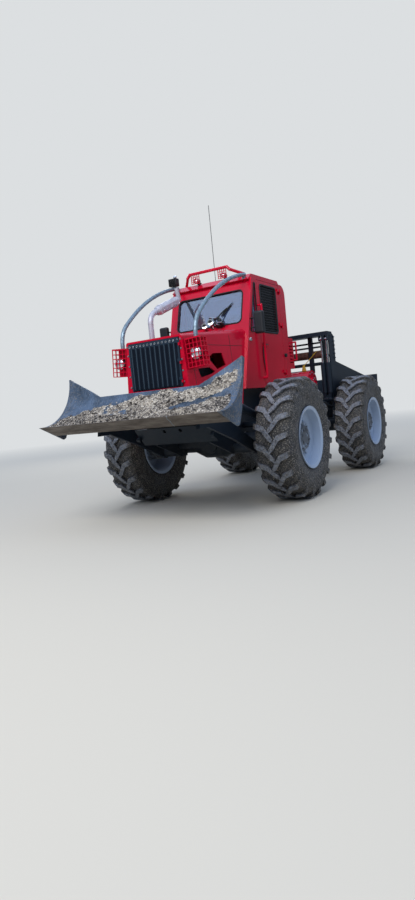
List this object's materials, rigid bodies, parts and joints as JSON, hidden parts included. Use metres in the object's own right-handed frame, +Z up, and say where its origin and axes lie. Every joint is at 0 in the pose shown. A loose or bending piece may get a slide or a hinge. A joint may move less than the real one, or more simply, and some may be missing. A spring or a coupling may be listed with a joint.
{
  "type": "cable skidder",
  "caption": "Articulated forestry cable skidder: cab, hood with ribbed grille door, front blade, winch, fairlead arch and rear shield on lugged tyres.",
  "frame": {"origin": "centre of the bounding box's bottom face, on the ground between the axles", "axes": "+X forwards, towards the blade; +Y to the machine's left; +Z up"},
  "size_m": [6.139, 2.63, 3.97],
  "materials": {
    "red_paint": "glossy",
    "chassis_paint": "satin, worn",
    "worn_steel": "scuffed",
    "edge_steel": "rough",
    "galvanised": "matte",
    "bright_steel": "polished",
    "silencer_steel": "satin",
    "rim_paint": "satin",
    "tyre_rubber": "matte, muddy",
    "clear_glass": "glossy",
    "mesh_glass": "glossy",
    "lamp_glass": "glossy",
    "black_plastic": "matte",
    "seat_cloth": "woven",
    "engine_iron": "matte",
    "rusty_steel": "rusty",
    "line_plastic": "matte"
  },
  "bodies": {
    "front": {"front_frame": "chassis_paint", "front_axle": "chassis_paint", "engine_block": "engine_iron", "hood": "red_paint", "lamps": "lamp_glass", "lamp_guards": "red_paint", "brush_hoops": "galvanised", "exhaust": "silencer_steel", "cab_shell": "red_paint", "cab_roof": "red_paint", "cab_windows": "clear_glass", "grab_rails": "red_paint", "mirrors": "black_plastic", "antenna": "black_plastic", "seat": "seat_cloth", "console": "black_plastic", "rear_box": "red_paint", "side_tanks": "chassis_paint"},
    "grille_door": {"grille": "chassis_paint"},
    "door_left": {"door_left": "red_paint", "door_left_glass": "mesh_glass"},
    "door_right": {"door_right": "red_paint", "door_right_glass": "mesh_glass"},
    "blade": {"blade": "worn_steel", "cutting_edge": "edge_steel", "blade_frame": "chassis_paint"},
    "lift_barrels": {"lift_barrels": "chassis_paint"},
    "lift_rods": {"lift_rods": "bright_steel"},
    "rear": {"rear_frame": "chassis_paint", "tongue": "chassis_paint", "knuckle": "chassis_paint", "foot_plates": "chassis_paint", "rear_axle": "chassis_paint", "winch_housing": "red_paint", "arch": "chassis_paint", "winch_line": "line_plastic"},
    "drum_left": {"drum_left": "engine_iron"},
    "drum_right": {"drum_right": "engine_iron"},
    "rollers": {"rollers": "rusty_steel"},
    "shield": {"shield": "chassis_paint"},
    "shield_barrels": {"shield_barrels": "chassis_paint"},
    "shield_rods": {"shield_rods": "bright_steel"},
    "steer_barrel_left": {"steer_barrel_left": "chassis_paint"},
    "steer_barrel_right": {"steer_barrel_right": "chassis_paint"},
    "steer_rod_left": {"steer_rod_left": "bright_steel"},
    "steer_rod_right": {"steer_rod_right": "bright_steel"},
    "wheel_front_left": {"tyre_front_left": "tyre_rubber", "rim_front_left": "rim_paint"},
    "wheel_front_right": {"tyre_front_right": "tyre_rubber", "rim_front_right": "rim_paint"},
    "wheel_rear_left": {"tyre_rear_left": "tyre_rubber", "rim_rear_left": "rim_paint"},
    "wheel_rear_right": {"tyre_rear_right": "tyre_rubber", "rim_rear_right": "rim_paint"}
  },
  "joints": [
    {"name": "articulation", "type": "hinge", "parent": "front", "child": "rear", "pos_m": [-0.2235, 0, 0.78], "axis": [0, 0, 1], "range_deg": [-38, 38]},
    {"name": "wheel_front_left_spin", "type": "hinge", "parent": "front", "child": "wheel_front_left", "pos_m": [1.1515, 1.085, 0.725], "axis": [0, 1, 0], "continuous": true},
    {"name": "wheel_front_right_spin", "type": "hinge", "parent": "front", "child": "wheel_front_right", "pos_m": [1.1515, -1.085, 0.725], "axis": [0, 1, 0], "continuous": true},
    {"name": "wheel_rear_left_spin", "type": "hinge", "parent": "rear", "child": "wheel_rear_left", "pos_m": [-1.5985, 1.085, 0.725], "axis": [0, 1, 0], "continuous": true},
    {"name": "wheel_rear_right_spin", "type": "hinge", "parent": "rear", "child": "wheel_rear_right", "pos_m": [-1.5985, -1.085, 0.725], "axis": [0, 1, 0], "continuous": true},
    {"name": "blade_lift", "type": "hinge", "parent": "front", "child": "blade", "pos_m": [1.3765, 0, 0.66], "axis": [0, 1, 0], "range_deg": [0, 37]},
    {"name": "lift_barrel_swing", "type": "hinge", "parent": "front", "child": "lift_barrels", "pos_m": [1.0965, 0, 0.925], "axis": [0, 1, 0], "range_deg": [0, 31]},
    {"name": "lift_rod_slide", "type": "slide", "parent": "lift_barrels", "child": "lift_rods", "axis": [0.955, 0, 0.2966], "range_m": [0, 0.187]},
    {"name": "shield_lift", "type": "hinge", "parent": "rear", "child": "shield", "pos_m": [-1.5235, 0, 1.22], "axis": [0, -1, 0], "range_deg": [0, 34]},
    {"name": "shield_barrel_swing", "type": "hinge", "parent": "shield", "child": "shield_barrels", "pos_m": [-1.0835, 0, 1.13], "axis": [0, 1, 0], "range_deg": [0, 35]},
    {"name": "shield_rod_slide", "type": "slide", "parent": "shield_barrels", "child": "shield_rods", "axis": [0, 0, 1], "range_m": [-0.264, 0]},
    {"name": "steer_barrel_left_swing", "type": "hinge", "parent": "front", "child": "steer_barrel_left", "pos_m": [0.4365, 0.3, 0.78], "axis": [0, 0, 1], "range_deg": [-7, 7]},
    {"name": "steer_rod_left_slide", "type": "slide", "parent": "steer_barrel_left", "child": "steer_rod_left", "axis": [-0.9973, -0.073, 0], "range_m": [-0.163, 0.163]},
    {"name": "steer_barrel_right_swing", "type": "hinge", "parent": "front", "child": "steer_barrel_right", "pos_m": [0.4365, -0.3, 0.78], "axis": [0, 0, 1], "range_deg": [-7, 7]},
    {"name": "steer_rod_right_slide", "type": "slide", "parent": "steer_barrel_right", "child": "steer_rod_right", "axis": [-0.9973, 0.073, 0], "range_m": [-0.163, 0.163]},
    {"name": "grille_swing", "type": "hinge", "parent": "front", "child": "grille_door", "pos_m": [2.3835, 0.355, 1.72], "axis": [0, 0, 1], "range_deg": [0, 95]},
    {"name": "door_left_swing", "type": "hinge", "parent": "front", "child": "door_left", "pos_m": [0.0765, 0.602, 2.1], "axis": [0, 0, 1], "range_deg": [0, 80]},
    {"name": "door_right_swing", "type": "hinge", "parent": "front", "child": "door_right", "pos_m": [0.0765, -0.602, 2.1], "axis": [0, 0, -1], "range_deg": [0, 80]},
    {"name": "drum_left_spin", "type": "hinge", "parent": "rear", "child": "drum_left", "pos_m": [-0.9485, 0.3, 1.385], "axis": [0, 1, 0], "continuous": true},
    {"name": "drum_right_spin", "type": "hinge", "parent": "rear", "child": "drum_right", "pos_m": [-0.9485, -0.3, 1.385], "axis": [0, 1, 0], "continuous": true},
    {"name": "rollers_spin", "type": "hinge", "parent": "rear", "child": "rollers", "pos_m": [-1.2335, 0, 1.835], "axis": [0, 1, 0], "continuous": true}
  ],
  "couplings": [
    {"joint": "lift_barrel_swing", "follows": "blade_lift", "ratio": 0.8279},
    {"joint": "lift_rod_slide", "follows": "blade_lift", "m_per_rad": 0.2881},
    {"joint": "shield_barrel_swing", "follows": "shield_lift", "ratio": 1.0117},
    {"joint": "shield_rod_slide", "follows": "shield_lift", "m_per_rad": -0.4441},
    {"joint": "steer_barrel_left_swing", "follows": "articulation", "ratio": 0.1766},
    {"joint": "steer_rod_left_slide", "follows": "articulation", "m_per_rad": 0.2446},
    {"joint": "steer_barrel_right_swing", "follows": "articulation", "ratio": 0.1766},
    {"joint": "steer_rod_right_slide", "follows": "articulation", "m_per_rad": -0.2446}
  ]
}
